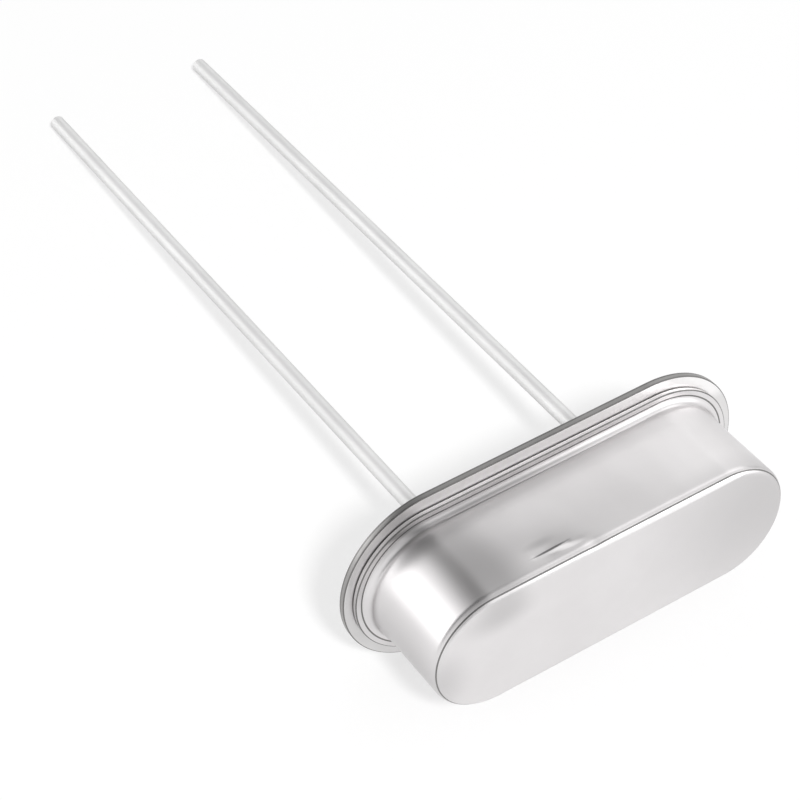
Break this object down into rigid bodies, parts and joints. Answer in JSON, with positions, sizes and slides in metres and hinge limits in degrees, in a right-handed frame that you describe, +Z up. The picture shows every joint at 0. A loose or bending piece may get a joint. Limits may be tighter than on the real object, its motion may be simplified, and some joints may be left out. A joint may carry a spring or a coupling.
{
  "type": "quartz crystal unit",
  "caption": "Low-profile through-hole quartz crystal unit: a drawn racetrack-shaped metal can on a flanged header, with straight wire leads through glass seals.",
  "frame": {"origin": "centre of the bounding box's underside, on the surface that the unit lies on", "axes": "+X along the can's long side, +Y towards the lead tips, +Z up; the header's axis slopes down by 5.9 degrees towards the tips, because the unit lies on its rim's lower edge and on the lead tips"},
  "size_m": [0.0114, 0.0252, 0.005],
  "materials": {
    "can_steel": "satin",
    "header_steel": "satin",
    "lead_wire": "satin",
    "clip_strip": "satin",
    "seal_glass": "gloss",
    "quartz": "polished",
    "silver_film": "polished",
    "silver_epoxy": "matte"
  },
  "bodies": {
    "root": {"can": "can_steel", "header": "header_steel", "glass_seal_left": "seal_glass", "glass_seal_right": "seal_glass", "lead_left": "lead_wire", "lead_right": "lead_wire", "clip_left": "clip_strip", "clip_right": "clip_strip", "quartz_blank": "quartz", "electrode_top": "silver_film", "electrode_bottom": "silver_film", "adhesive_left": "silver_epoxy", "adhesive_right": "silver_epoxy"}
  },
  "joints": []
}
